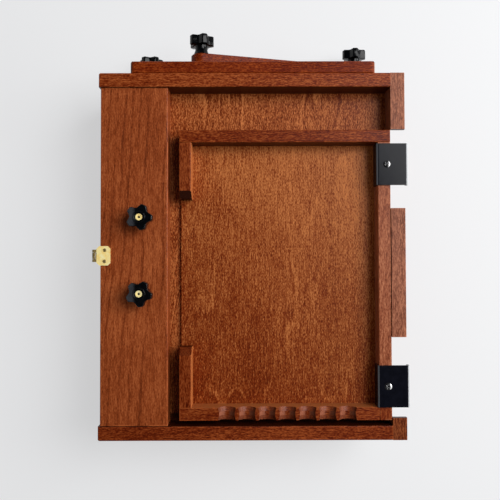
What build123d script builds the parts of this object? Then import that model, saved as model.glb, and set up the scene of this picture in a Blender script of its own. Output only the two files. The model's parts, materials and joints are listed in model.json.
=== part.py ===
from build123d import *
import os
from math import atan2, cos, degrees, hypot, radians, sin

# Pochade box, closed, lying on its base. Millimetres.
# X runs to the painter's right, Y away from the painter, Z up.
# The origin is the mouth of the tripod socket, at the middle of the underside.

# ---- box and lid ----------------------------------------------------------
HALF_WIDTH = 193.0
FRONT_Y = -160.0
BACK_Y = 146.5
RAIL_FRONT_Y = -161.5
LIP_BACK_Y = 161.5
SEAM_Z = 53.0
TOP_Z = 100.0
WALL = 13.0
RAIL = 15.0
FLOOR_PLY = 6.0
FLOOR_REBATE = 6.5
EDGE = 1.0
CORNER = 2.0

PANEL_TOP_Z = 73.5
PANEL_PLY = 5.0
PLANK_TOP_Z = 97.0
PLANK_BACK_Y = -89.0
PLANK_ROUND = 1.2
LIP_THICK = 6.0
LIP_WEB = 6.0
LIP_WEB_BOTTOM_Z = 64.0
LIP_WEB_TAPER = 8.0
LIP_WEB_END = 1.0
NOTCHES_X = [(-133.0, -49.5), (86.0, 170.0)]
LEDGE_HALF = 150.0
LEDGE_BOTTOM_Z = 57.0
LEDGE_DEPTH = 12.0
LEDGE_LIP = 5.0
LEDGE_GROOVE_Z = (60.0, 66.0)

# ---- base fittings --------------------------------------------------------
SOCKET_R = 3.175
INSERT_R = 5.5
INSERT_FLANGE_R = 9.0
INSERT_FLANGE = 1.5
BLOCK_SIDE = 64.0
BLOCK_THICK = 12.0
RUNNER_Z = (36.5, 44.0)
RUNNER_WIDTH = 8.0
DIVIDER_THICK = 6.0
DIVIDER_TOP_Z = 36.0
LONG_DIVIDER_Y = 52.0
CROSS_DIVIDERS_X = (-62.0, 62.0)
PALETTE_DEPTH = 200.0
PALETTE_THICK = 6.0
PALETTE_HOLE_R = 13.0
PALETTE_CORNER = 10.0

# ---- side stay on the left ------------------------------------------------
STAY_THICK = 13.0
STAY_ENDS_Y = (-128.8, 131.3)
STAY_ROUND = 4.5
STAY_END_ROUND = 3.0
STAY_RELIEF = 1.2
RAIL_STAY_Z = (6.0, 51.5)
TRACK_STAY_Z = (62.0, 98.5)
TRACK_SLOT_Z = 75.0
TRACK_SLOT_Y = (-57.0, 10.0)
SLOT_WIDTH = 7.0
ARM_WIDTH = 22.0
ARM_THICK = 12.8
ARM_GAP = 0.5
ARM_PIVOT = (120.0, 29.0)
ARM_KNOB = (-55.0, 75.0)
RAIL_KNOB = (-117.0, 29.0)
RAIL_KNOB_REACH = 4.0

# ---- star knobs and their bolts -------------------------------------------
LOBES = 5
LOBE_TIP_R = 13.5
LOBE_HALF_WIDTH = 2.6
VALLEY_R = 9.6
VALLEY_ROUND = 3.5
STAR_ROUND = 2.0
STAR_EDGE = 1.1
HEAD_THICK = 10.5
NECK_HEIGHT = 10.5
NECK_R = 8.8
NECK_WAIST_R = 6.8
NECK_SKIRT = 5.0
DISH_DEPTH = 1.3
DISH_FLOOR_R = 6.5
RING_R = 6.2
RING_WALL = 1.0
RING_HEIGHT = 0.9
BRASS_R = 3.4
BOLT_R = 2.5
BOLT_HEAD_R = 6.5
BOLT_HEAD = 2.4
BOLT_HEAD_EDGE = 1.0
RUNNING = 0.05
FIXED = 0.02
KNOB_LIFT = 0.2
BOLT_SHY = 0.9
BOLT_DIMPLE_R = 1.3
BOLT_DIMPLE = 1.6
KNOB_Y = -116.0

# ---- mast slats in the lid ------------------------------------------------
MAST_X = 39.3
MAST_WIDTH = 22.0
MAST_Z = (60.2, 68.2)
MAST_Y = (-146.5, 84.0)
MAST_SLOT_Y = (-124.0, 66.0)
MAST_CLIP_Z = 54.0
MAST_CLIP_FOOT = 12.0
MAST_CLIP_NOSE = 5.0
MAST_CLIP_NOSE_THICK = 3.0
MAST_GATE_GAP = 1.0
GUIDE_LENGTH = 231.0
GUIDE_WIDTH = 6.0
GUIDE_GAP = 0.6

# ---- hinges ---------------------------------------------------------------
HINGE_Y = 150.5
HINGE_X = (-28.0, 62.0)
HINGE_WIDTH = 40.0
KNUCKLES = 3
KNUCKLE_R = 3.5
KNUCKLE_GAP = 0.3
KNUCKLE_CLEAR = 0.4
PIN_R = 1.5
LEAF = 2.0
HINGE_LEAF_HEIGHT = 22.0
HINGE_SCREW_R = 1.4
HINGE_SCREW_HEAD_R = 2.6
HINGE_SCREW_HEAD = 1.0
HINGE_SCREW_LENGTH = 10.0
HINGE_SCREW_SPREAD = 13.0
HINGE_BASE_SCREW_Z = SEAM_Z - 15.0
HINGE_LID_SCREW_Z = SEAM_Z + 7.5

# ---- front catch ----------------------------------------------------------
CATCH_PLATE_Y = (-163.8, -149.2)
CATCH_HALF = 10.2
CATCH_TAB_HALF = 6.5
CATCH_SHEET = 1.2
CATCH_PLATE_CLIP = 2.6
CATCH_FRONT_CLIP = 3.0
CATCH_PIN = (-166.2, 95.2)
CATCH_PIN_R = 1.0
CATCH_CURL_R = 2.7
CATCH_SIDE_GAP = 0.3
CATCH_STRAP_ROUND = 2.0
CATCH_STRAP_DROP = 3.0
CATCH_SCREWS = [(-5.9, -155.0), (5.8, -155.3)]
CATCH_SCREW_R = 1.0
CATCH_SCREW_HEAD_R = 1.9
CATCH_SCREW_HEAD = 0.8
CATCH_SCREW_LENGTH = 8.0
FORK_GAP = 0.5
STRIKE_EDGE = 0.8
STRIKE_REACH = 1.6
STRIKE_DEPTH = 8.0
CATCH_LEAF_BOTTOM_Z = 30.0
STRIKE_Z = 38.0
STRIKE_R = 2.2

# ---- lift-off tray --------------------------------------------------------
TRAY_X = (-132.5, 172.3)
TRAY_Y = (-76.5, 146.0)
TRAY_FLOOR_Z = (73.8, 78.3)
TRAY_TOP_Z = 99.0
TRAY_RAIL = 13.2
FRONT_STUBS_X = [(-119.3, -60.4), (96.7, 159.1)]
STUB_WIDTH = 12.4
STUB_BEVEL = 8.0
SCALLOPS = 7
SCALLOP_FIRST_Y = -26.9
SCALLOP_PITCH = 21.1
SCALLOP_CHORD = 16.3
SCALLOP_DEPTH = 5.5
SCALLOP_FLARE = 1.5
SCALLOP_THROAT = 4.0
HOOKS_X = [(-117.7, -73.7), (115.3, 158.9)]
HOOK_Y = (130.8, 164.2)
HOOK_STEEL = 2.0
HOOK_BEND = 0.6
HOOK_INNER_DROP = 14.0
HOOK_OUTER_DROP = 5.0
HOOK_SCREW_Y = 141.6
HOOK_SCREW_R = 1.8
HOOK_SCREW_LENGTH = 13.0
HOOK_SCREW_HEAD_R = 3.8
HOOK_SCREW_HEAD = 1.6
HOOK_SCREW_EDGE = 0.9

INNER = HALF_WIDTH - WALL
LID_INNER = HALF_WIDTH - RAIL
FRONT_INNER_Y = FRONT_Y + WALL
BACK_INNER_Y = BACK_Y - WALL
LOW = (Align.CENTER, Align.CENTER, Align.MIN)


# ---- helpers --------------------------------------------------------------
def block(x_span, y_span, z_span):
    """A box between two values along each axis."""
    spans = (x_span, y_span, z_span)
    size = [high - low for low, high in spans]
    middle = [(high + low) / 2 for low, high in spans]
    return Pos(*middle) * Box(*size)


def rod_x(radius, x_span, y, z):
    """A round bar along X."""
    length = x_span[1] - x_span[0]
    return Pos(x_span[0], y, z) * Rot(0, 90, 0) * Cylinder(radius, length, align=LOW)


def rod_y(radius, y_span, x, z):
    """A round bar along Y."""
    length = y_span[1] - y_span[0]
    return Pos(x, y_span[0], z) * Rot(-90, 0, 0) * Cylinder(radius, length, align=LOW)


def rod_z(radius, z_span, x, y):
    """A round bar along Z."""
    length = z_span[1] - z_span[0]
    return Pos(x, y, z_span[0]) * Cylinder(radius, length, align=LOW)


def turned(side):
    """A solid turned about Z from the outline of its one side."""
    return revolve(make_face(Polyline(*side, close=True).rotate(Axis.X, 90)))


def soften(shape, axis, radius=EDGE):
    """Rounds every edge that runs along an axis."""
    return fillet(shape.edges().filter_by(axis), radius)


# ---- base -----------------------------------------------------------------
def base_box():
    rebate_x = INNER + FLOOR_REBATE
    rebate_y = (FRONT_INNER_Y - FLOOR_REBATE, BACK_INNER_Y + FLOOR_REBATE)
    floor = block((-rebate_x, rebate_x), rebate_y, (0, FLOOR_PLY))
    height = (0, SEAM_Z)
    front = block((-INNER, INNER), (FRONT_Y, FRONT_INNER_Y), height) - floor
    back = block((-INNER, INNER), (BACK_INNER_Y, BACK_Y), height) - floor
    side = block((INNER, HALF_WIDTH), (FRONT_Y, BACK_Y), height)
    outer_corners = side.edges().filter_by(Axis.Z).group_by(Axis.X)[-1]
    right = fillet(outer_corners, CORNER) - floor
    left = mirror(fillet(outer_corners, CORNER), Plane.YZ) - floor
    for y, z in (ARM_PIVOT, RAIL_KNOB):
        left -= rod_x(BOLT_R + RUNNING, (-HALF_WIDTH - 1, -INNER + 1), y, z)
    front -= rod_y(STRIKE_R + FIXED, (FRONT_Y - 1, FRONT_Y + STRIKE_DEPTH + 1), 0, STRIKE_Z)
    for x, y, z in hinge_screw_places(HINGE_BASE_SCREW_Z):
        back -= rod_y(HINGE_SCREW_R + FIXED, (y - HINGE_SCREW_LENGTH, y + 1), x, z)
    floor -= rod_z(INSERT_R + FIXED, (-1, FLOOR_PLY + 1), 0, 0)
    return {
        "base_front_wall": front,
        "base_back_wall": back,
        "base_left_side": left,
        "base_right_side": right,
        "base_floor": floor,
    }


def tripod_mount():
    """Hardwood block inside the base, with a brass threaded insert through it."""
    block_top = FLOOR_PLY + BLOCK_THICK
    half = BLOCK_SIDE / 2
    pad = block((-half, half), (-half, half), (FLOOR_PLY, block_top))
    pad = chamfer(pad.faces().sort_by(Axis.Z)[-1].edges(), CORNER)
    pad -= rod_z(INSERT_R + FIXED, (0, block_top + 1), 0, 0)
    insert = rod_z(INSERT_R, (0, block_top), 0, 0)
    insert += rod_z(INSERT_FLANGE_R, (block_top, block_top + INSERT_FLANGE), 0, 0)
    insert -= rod_z(SOCKET_R, (-1, block_top + INSERT_FLANGE + 1), 0, 0)
    return {"tripod_block": pad, "tripod_insert": insert}


def paint_store():
    """Runners for the palette, and dividers for the tubes and brushes."""
    runner = block((INNER - RUNNER_WIDTH, INNER), (FRONT_INNER_Y, BACK_INNER_Y), RUNNER_Z)
    runner = fillet(runner.edges().filter_by(Axis.Y).group_by(Axis.X)[0], EDGE)
    height = (FLOOR_PLY, DIVIDER_TOP_Z)
    long_y = (LONG_DIVIDER_Y, LONG_DIVIDER_Y + DIVIDER_THICK)
    long_divider = soften(block((-INNER, INNER), long_y, height), Axis.X)
    crosses = []
    for x in CROSS_DIVIDERS_X:
        x_span = (x - DIVIDER_THICK / 2, x + DIVIDER_THICK / 2)
        crosses.append(soften(block(x_span, (FRONT_INNER_Y, LONG_DIVIDER_Y), height), Axis.Y))
    return {
        "palette_runners": Compound([runner, mirror(runner, Plane.YZ)]),
        "long_divider": long_divider,
        "cross_dividers": Compound(crosses),
    }


def palette():
    half = INNER - 2
    y_span = (FRONT_INNER_Y + 1, FRONT_INNER_Y + 1 + PALETTE_DEPTH)
    z_span = (RUNNER_Z[1], RUNNER_Z[1] + PALETTE_THICK)
    sheet = block((-half, half), y_span, z_span)
    back_corners = sheet.edges().filter_by(Axis.Z).group_by(Axis.Y)[-1]
    sheet = fillet(back_corners, PALETTE_CORNER)
    hole_y = y_span[1] - 3 * PALETTE_HOLE_R
    sheet -= rod_z(PALETTE_HOLE_R, (z_span[0] - 1, z_span[1] + 1), 0, hole_y)
    return {"palette": chamfer(sheet.edges().filter_by(GeomType.CIRCLE), EDGE)}


# ---- lid ------------------------------------------------------------------
def side_rails():
    rail = block((LID_INNER, HALF_WIDTH), (RAIL_FRONT_Y, BACK_Y), (SEAM_Z, TOP_Z))
    front_face = rail.faces().sort_by(Axis.Y)[0]
    rail = fillet(front_face.edges().filter_by(Axis.Z).sort_by(Axis.X)[-1], CORNER)
    rail = fillet(rail.edges().filter_by(Axis.Y).group_by(Axis.Z)[-1], EDGE)
    return {"lid_right_rail": rail, "lid_left_rail": mirror(rail, Plane.YZ)}


def back_lip_piece(x_span, low_end_notched, high_end_notched):
    """One length of the L-shaped lip; its web thins to an edge where a notch begins."""
    cap = block(x_span, (BACK_Y, LIP_BACK_Y), (TOP_Z - LIP_THICK, TOP_Z))
    low, high = x_span
    low_taper = LIP_WEB_TAPER if low_end_notched else 0
    high_taper = LIP_WEB_TAPER if high_end_notched else 0
    outline = Polyline(
        (low, BACK_Y),
        (high, BACK_Y),
        (high, BACK_Y + LIP_WEB_END),
        (high - high_taper, BACK_Y + LIP_WEB),
        (low + low_taper, BACK_Y + LIP_WEB),
        (low, BACK_Y + LIP_WEB_END),
        close=True,
    )
    web_height = TOP_Z - LIP_THICK - LIP_WEB_BOTTOM_Z
    web = extrude(Plane.XY.offset(LIP_WEB_BOTTOM_Z) * make_face(outline), web_height)
    lip = cap + web
    return fillet(lip.edges().filter_by(Axis.X).group_by(Axis.Y)[-1], EDGE)


def back_lips():
    left_notch, right_notch = NOTCHES_X
    pieces = {
        "left": ((-HALF_WIDTH, left_notch[0]), False, True),
        "middle": ((left_notch[1], right_notch[0]), True, True),
        "right": ((right_notch[1], HALF_WIDTH), True, False),
    }
    return {f"lid_back_lip_{side}": back_lip_piece(*shape) for side, shape in pieces.items()}


def mast_bolt_holes(z_span):
    left = rod_z(BOLT_R + RUNNING, z_span, -MAST_X, KNOB_Y)
    return left + mirror(left, Plane.YZ)


def lid_box():
    panel_z = (PANEL_TOP_Z - PANEL_PLY, PANEL_TOP_Z)
    panel = block((-LID_INNER, LID_INNER), (FRONT_INNER_Y, BACK_Y), panel_z)
    plank_z = (PANEL_TOP_Z, PLANK_TOP_Z)
    plank = block((-LID_INNER, LID_INNER), (FRONT_Y, PLANK_BACK_Y), plank_z)
    top_edges = plank.edges().filter_by(Axis.X).group_by(Axis.Z)[-1]
    plank = fillet(top_edges.sort_by(Axis.Y)[-1], PLANK_ROUND)
    plank = fillet(plank.edges().filter_by(Axis.X).group_by(Axis.Y)[0], EDGE)
    through = (panel_z[0] - 1, PLANK_TOP_Z + 1)
    panel -= mast_bolt_holes(through)
    plank -= mast_bolt_holes(through)
    for x, y in CATCH_SCREWS:
        hole_z = (PLANK_TOP_Z - CATCH_SCREW_LENGTH - 1, PLANK_TOP_Z + 1)
        plank -= rod_z(CATCH_SCREW_R + FIXED, hole_z, x, y)
    front = block((-LID_INNER, LID_INNER), (FRONT_Y, FRONT_INNER_Y), (SEAM_Z, PANEL_TOP_Z))
    back = block((-LID_INNER, LID_INNER), (BACK_INNER_Y, BACK_Y), (SEAM_Z, panel_z[0]))
    gate = MAST_WIDTH / 2 + MAST_GATE_GAP
    for x in (-MAST_X, MAST_X):
        front -= block((x - gate, x + gate), (FRONT_Y - 1, FRONT_INNER_Y + 1), (SEAM_Z - 1, panel_z[0]))
    for x, y, z in hinge_screw_places(HINGE_LID_SCREW_Z):
        back -= rod_y(HINGE_SCREW_R + FIXED, (y - HINGE_SCREW_LENGTH, y + 1), x, z)
    return {
        "lid_panel": panel,
        "lid_plank": plank,
        "lid_front_wall": front,
        "lid_back_wall": back,
    }


def canvas_ledge():
    """Grooved strip that the foot of a canvas stands on when the lid is up."""
    front = BACK_INNER_Y - LEDGE_DEPTH
    ledge_z = (LEDGE_BOTTOM_Z, PANEL_TOP_Z - PANEL_PLY)
    ledge = block((-LEDGE_HALF, LEDGE_HALF), (front, BACK_INNER_Y), ledge_z)
    groove_y = (front - 1, front + LEDGE_LIP)
    groove = block((-LEDGE_HALF - 1, LEDGE_HALF + 1), groove_y, LEDGE_GROOVE_Z)
    return {"canvas_ledge": soften(ledge - groove, Axis.X, EDGE * 0.8)}


def masts():
    """Two slotted slats that slide out of the lid and clamp the canvas head."""
    half = MAST_WIDTH / 2
    slat = block((-half, half), MAST_Y, MAST_Z)
    slat = fillet(slat.edges().filter_by(Axis.Z).group_by(Axis.Y)[-1], CORNER * 2)
    slot_middle = sum(MAST_SLOT_Y) / 2
    slot_length = MAST_SLOT_Y[1] - MAST_SLOT_Y[0]
    slot = Pos(0, slot_middle) * Rot(0, 0, 90) * SlotCenterToCenter(slot_length, SLOT_WIDTH)
    slat -= extrude(Plane.XY.offset(MAST_Z[0] - 1) * slot, MAST_Z[1] - MAST_Z[0] + 2)
    foot_y = (MAST_Y[0], MAST_Y[0] + MAST_CLIP_FOOT)
    clip = block((-half, half), foot_y, (MAST_CLIP_Z, MAST_Z[0]))
    nose_y = (foot_y[1], foot_y[1] + MAST_CLIP_NOSE)
    clip += block((-half, half), nose_y, (MAST_CLIP_Z, MAST_CLIP_Z + MAST_CLIP_NOSE_THICK))
    clip = fillet(clip.edges().filter_by(Axis.X).group_by(Axis.Z)[0], EDGE)
    guides = []
    guide_z = (MAST_Z[0] + 2, PANEL_TOP_Z - PANEL_PLY)
    inner = half + GUIDE_GAP
    for x in (-MAST_X, MAST_X):
        for side in (-1, 1):
            edges = sorted((x + side * inner, x + side * (inner + GUIDE_WIDTH)))
            guides.append(block(edges, (FRONT_INNER_Y, FRONT_INNER_Y + GUIDE_LENGTH), guide_z))
    nodes = {"mast_guides": Compound(guides)}
    for side, x in (("left", -MAST_X), ("right", MAST_X)):
        nodes[f"mast_{side}"] = Pos(x, 0, 0) * slat
        nodes[f"mast_clip_{side}"] = Pos(x, 0, 0) * clip
    return nodes


# ---- hinges ---------------------------------------------------------------
def hinge_screw_places(z):
    """Two screws in each hinge leaf, at one height, on the walls' back face."""
    return [(x + side * HINGE_SCREW_SPREAD, BACK_Y, z) for x in HINGE_X for side in (-1, 1)]


def knuckle_spans(middle, offset):
    """Every other knuckle of a hinge, starting with the first or the second."""
    step = HINGE_WIDTH / KNUCKLES
    start = middle - HINGE_WIDTH / 2
    spans = []
    for index in range(offset, KNUCKLES, 2):
        low = start + index * step
        spans.append((low + KNUCKLE_GAP / 2, low + step - KNUCKLE_GAP / 2))
    return spans


def hinge_leaf(middle, z_span, offset, screw_z):
    """A leaf flat on the wall, joined to its knuckles and cleared round the others."""
    half = HINGE_WIDTH / 2
    leaf = block((middle - half, middle + half), (BACK_Y, BACK_Y + LEAF), z_span)
    for low, high in knuckle_spans(middle, 1 - offset):
        clear = (low - KNUCKLE_GAP, high + KNUCKLE_GAP)
        room = KNUCKLE_R + KNUCKLE_CLEAR
        leaf -= block(clear, (BACK_Y - 1, BACK_Y + LEAF + 1), (SEAM_Z - room, SEAM_Z + room))
    for span in knuckle_spans(middle, offset):
        leaf += rod_x(KNUCKLE_R, span, HINGE_Y, SEAM_Z)
    leaf -= block((middle - half - 1, middle + half + 1), (BACK_Y - 2, BACK_Y), (0, TOP_Z))
    leaf -= rod_x(PIN_R + RUNNING, (middle - half - 1, middle + half + 1), HINGE_Y, SEAM_Z)
    for side in (-1, 1):
        hole_x = middle + side * HINGE_SCREW_SPREAD
        leaf -= rod_y(HINGE_SCREW_R + FIXED, (BACK_Y - 1, BACK_Y + LEAF + 1), hole_x, screw_z)
    return leaf


def hinge_screws(screw_z):
    screws = []
    face = BACK_Y + LEAF
    for x, y, z in hinge_screw_places(screw_z):
        shank = rod_y(HINGE_SCREW_R, (y - HINGE_SCREW_LENGTH + 1, face), x, z)
        head = rod_y(HINGE_SCREW_HEAD_R, (face, face + HINGE_SCREW_HEAD), x, z)
        screws.append(shank + head)
    return Compound(screws)


def hinges():
    base_z = (SEAM_Z - HINGE_LEAF_HEIGHT, SEAM_Z - KNUCKLE_GAP)
    lid_z = (SEAM_Z + KNUCKLE_GAP, LIP_WEB_BOTTOM_Z - 0.5)
    half = HINGE_WIDTH / 2
    base_leaves = [hinge_leaf(x, base_z, 0, HINGE_BASE_SCREW_Z) for x in HINGE_X]
    lid_leaves = [hinge_leaf(x, lid_z, 1, HINGE_LID_SCREW_Z) for x in HINGE_X]
    return {
        "hinge_base_leaves": Compound(base_leaves),
        "hinge_lid_leaves": Compound(lid_leaves),
        "hinge_pins": Compound([rod_x(PIN_R, (x - half, x + half), HINGE_Y, SEAM_Z) for x in HINGE_X]),
        "hinge_base_screws": hinge_screws(HINGE_BASE_SCREW_Z),
        "hinge_lid_screws": hinge_screws(HINGE_LID_SCREW_Z),
    }


# ---- side stay ------------------------------------------------------------
def stay_board(z_span):
    """A stay bar flat on the left side: round at its ends, with a relieved inner top edge."""
    x_outer = -HALF_WIDTH - STAY_THICK
    low, high = z_span
    start, end = STAY_ENDS_Y
    plan = block((x_outer, -HALF_WIDTH), STAY_ENDS_Y, z_span)
    plan = fillet(plan.edges().filter_by(Axis.Z).group_by(Axis.X)[0], STAY_END_ROUND)
    middle = Pos((start + end) / 2, (low + high) / 2)
    outline = RectangleRounded(end - start, high - low, STAY_ROUND)
    side = extrude(Plane.YZ.offset(x_outer) * middle * outline, STAY_THICK)
    section = Polyline(
        (-HALF_WIDTH, start, low),
        (-HALF_WIDTH, start, high - STAY_RELIEF),
        (-HALF_WIDTH - STAY_RELIEF, start, high),
        (x_outer + EDGE, start, high),
        (x_outer, start, high - EDGE),
        (x_outer, start, low + EDGE),
        (x_outer + EDGE, start, low),
        close=True,
    )
    return plan & side & extrude(make_face(section), end - start, dir=(0, 1, 0))


def side_stay():
    x_board = -HALF_WIDTH - STAY_THICK
    stay_rail = stay_board(RAIL_STAY_Z)
    for y, z in (ARM_PIVOT, RAIL_KNOB):
        stay_rail -= rod_x(BOLT_R + RUNNING, (x_board - 1, -HALF_WIDTH + 1), y, z)
    track = stay_board(TRACK_STAY_Z)
    slot_length = TRACK_SLOT_Y[1] - TRACK_SLOT_Y[0]
    slot = Pos(sum(TRACK_SLOT_Y) / 2, TRACK_SLOT_Z) * SlotCenterToCenter(slot_length, SLOT_WIDTH)
    track -= extrude(Plane.YZ.offset(x_board - 1) * slot, STAY_THICK + 2)
    return {"stay_rail": stay_rail, "stay_track": track, "stay_arm": stay_arm()}


def stay_arm():
    x_inner = -HALF_WIDTH - STAY_THICK - ARM_GAP
    run_y = ARM_KNOB[0] - ARM_PIVOT[0]
    run_z = ARM_KNOB[1] - ARM_PIVOT[1]
    length = hypot(run_y, run_z)
    turn = degrees(atan2(run_z, run_y))
    middle_y = (ARM_KNOB[0] + ARM_PIVOT[0]) / 2
    middle_z = (ARM_KNOB[1] + ARM_PIVOT[1]) / 2
    outline = Pos(middle_y, middle_z) * Rot(0, 0, turn) * SlotCenterToCenter(length, ARM_WIDTH)
    arm = extrude(Plane.YZ.offset(x_inner - ARM_THICK) * outline, ARM_THICK)
    arm = chamfer(arm.faces().sort_by(Axis.X)[0].edges(), EDGE)
    for y, z in (ARM_PIVOT, ARM_KNOB):
        arm -= rod_x(BOLT_R + RUNNING, (x_inner - ARM_THICK - 1, x_inner + 1), y, z)
    return arm


# ---- star knobs -----------------------------------------------------------
def star_outline():
    """Five blunt lobes with straight flanks that meet in shallow valleys."""
    corners = []
    for lobe in range(LOBES):
        middle = radians(360 * lobe / LOBES)
        for side in (-1, 1):
            x = LOBE_TIP_R * cos(middle) - side * LOBE_HALF_WIDTH * sin(middle)
            y = LOBE_TIP_R * sin(middle) + side * LOBE_HALF_WIDTH * cos(middle)
            corners.append((x, y))
        valley = radians(360 * (lobe + 0.5) / LOBES)
        corners.append((VALLEY_R * cos(valley), VALLEY_R * sin(valley)))
    outline = make_face(Polyline(*corners, close=True))
    valleys = [vertex for vertex in outline.vertices() if hypot(vertex.X, vertex.Y) < VALLEY_R + 1]
    outline = fillet(valleys, VALLEY_ROUND)
    tips = [vertex for vertex in outline.vertices() if hypot(vertex.X, vertex.Y) > LOBE_TIP_R]
    return fillet(tips, STAR_ROUND)


def star_knob(neck_height=NECK_HEIGHT):
    """A five-lobed knob standing on z = 0, dished round a raised ring, with its bore open."""
    head = extrude(Plane.XY.offset(neck_height) * star_outline(), HEAD_THICK)
    head = chamfer(head.faces().sort_by(Axis.Z)[-1].edges(), STAR_EDGE)
    top = neck_height + HEAD_THICK
    dish = top - DISH_DEPTH
    rim_r = LOBE_TIP_R + 1
    head -= turned([(0, dish), (DISH_FLOOR_R, dish), (rim_r, top), (rim_r, top + 1), (0, top + 1)])
    neck_top = neck_height + 1
    neck = turned([(0, 0), (NECK_R, 0), (NECK_WAIST_R, NECK_SKIRT), (NECK_WAIST_R, neck_top), (0, neck_top)])
    ring = rod_z(RING_R, (dish - 1, dish + RING_HEIGHT), 0, 0)
    ring -= rod_z(RING_R - RING_WALL, (dish, top), 0, 0)
    knob = head + neck + ring
    return knob - rod_z(BRASS_R + FIXED, (-1, top + 1), 0, 0)


def brass_insert(neck_height=NECK_HEIGHT):
    """The threaded brass bush in a knob's middle."""
    height = neck_height + HEAD_THICK - DISH_DEPTH + RING_HEIGHT
    return rod_z(BRASS_R, (0, height), 0, 0) - rod_z(BOLT_R + RUNNING, (-1, height + 1), 0, 0)


def upright_knob(x, turn):
    """Places a knob on the plank with one lobe turned from the X axis."""
    return Pos(x, KNOB_Y, PLANK_TOP_Z + KNOB_LIFT) * Rot(0, 0, turn)


def side_knob(x_foot, place, turn):
    """Places a knob on the left side, pointing away from the box."""
    return Pos(x_foot, place[0], place[1]) * Rot(0, -90, 0) * Rot(0, 0, turn)


def mast_knobs():
    bolts = []
    nodes = {}
    bolt_top = PLANK_TOP_Z + KNOB_LIFT + NECK_HEIGHT + HEAD_THICK - BOLT_SHY
    head_top = MAST_Z[0] - 0.3
    for side, x, turn in (("left", -MAST_X, 87.0), ("right", MAST_X, 79.0)):
        place = upright_knob(x, turn)
        nodes[f"mast_knob_{side}"] = place * star_knob()
        nodes[f"mast_knob_bush_{side}"] = place * brass_insert()
        bolt = rod_z(BOLT_HEAD_R, (head_top - BOLT_HEAD, head_top), x, KNOB_Y)
        bolt = chamfer(bolt.edges().sort_by(Axis.Z)[0], BOLT_HEAD_EDGE)
        bolt += rod_z(BOLT_R, (head_top - 1, bolt_top), x, KNOB_Y)
        bolts.append(bolt - rod_z(BOLT_DIMPLE_R, (bolt_top - BOLT_DIMPLE, bolt_top + 1), x, KNOB_Y))
    nodes["mast_bolts"] = Compound(bolts)
    return nodes


def stay_knobs():
    """Knobs of the stay: one on the arm, one on its pivot, one at the rail's front."""
    x_board = -HALF_WIDTH - STAY_THICK
    x_arm = x_board - ARM_GAP - ARM_THICK
    bolt_end = KNOB_LIFT + NECK_HEIGHT + HEAD_THICK - BOLT_SHY
    rail_neck = NECK_HEIGHT + RAIL_KNOB_REACH
    arm_place = side_knob(x_arm - KNOB_LIFT, ARM_KNOB, 20.0)
    pivot_place = side_knob(x_arm - KNOB_LIFT, ARM_PIVOT, 0.0)
    rail_place = side_knob(x_board - KNOB_LIFT, RAIL_KNOB, 36.0)
    bolts = []
    for x_foot, place in ((x_arm, ARM_PIVOT), (x_board - RAIL_KNOB_REACH, RAIL_KNOB)):
        head = rod_x(BOLT_HEAD_R, (-INNER, -INNER + BOLT_HEAD), *place)
        head = chamfer(head.edges().sort_by(Axis.X)[-1], BOLT_HEAD_EDGE)
        tip = x_foot - bolt_end
        bolt = head + rod_x(BOLT_R, (tip, -INNER + 1), *place)
        bolts.append(bolt - rod_x(BOLT_DIMPLE_R, (tip - 1, tip + BOLT_DIMPLE), *place))
    tip = x_arm - bolt_end
    stud = rod_x(BOLT_R, (tip, x_board - ARM_GAP), *ARM_KNOB)
    stud += arm_place * rod_z(BRASS_R, (0, bolt_end - KNOB_LIFT), 0, 0)
    stud -= rod_x(BOLT_DIMPLE_R, (tip - 1, tip + BOLT_DIMPLE), *ARM_KNOB)
    return {
        "stay_knob": arm_place * star_knob(),
        "stay_knob_stud": stud,
        "pivot_knob": pivot_place * star_knob(),
        "pivot_knob_bush": pivot_place * brass_insert(),
        "rail_knob": rail_place * star_knob(rail_neck),
        "rail_knob_bush": rail_place * brass_insert(rail_neck),
        "stay_bolts": Compound(bolts),
    }


# ---- front catch ----------------------------------------------------------
def catch_plate():
    """Brass plate on the plank, with two curls that hold the leaf's pin."""
    plate_z = (PLANK_TOP_Z, PLANK_TOP_Z + CATCH_SHEET)
    plate = block((-CATCH_HALF, CATCH_HALF), CATCH_PLATE_Y, plate_z)
    corners = plate.edges().filter_by(Axis.Z).group_by(Axis.Y)
    plate = chamfer(corners[-1], CATCH_PLATE_CLIP)
    plate = chamfer(plate.edges().filter_by(Axis.Z).group_by(Axis.Y)[0], CATCH_FRONT_CLIP)
    pin_y, pin_z = CATCH_PIN
    curl_x = (CATCH_TAB_HALF / 2 + CATCH_SIDE_GAP, CATCH_TAB_HALF)
    for span in (curl_x, (-curl_x[1], -curl_x[0])):
        plate += rod_x(CATCH_CURL_R, span, pin_y, pin_z)
        plate += block(span, (pin_y, CATCH_PLATE_Y[0]), plate_z)
    for x, y in CATCH_SCREWS:
        plate -= rod_z(CATCH_SCREW_R + FIXED, (plate_z[0] - 1, plate_z[1] + 1), x, y)
    return plate - rod_x(CATCH_PIN_R + RUNNING, (-CATCH_HALF, CATCH_HALF), pin_y, pin_z)


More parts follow.
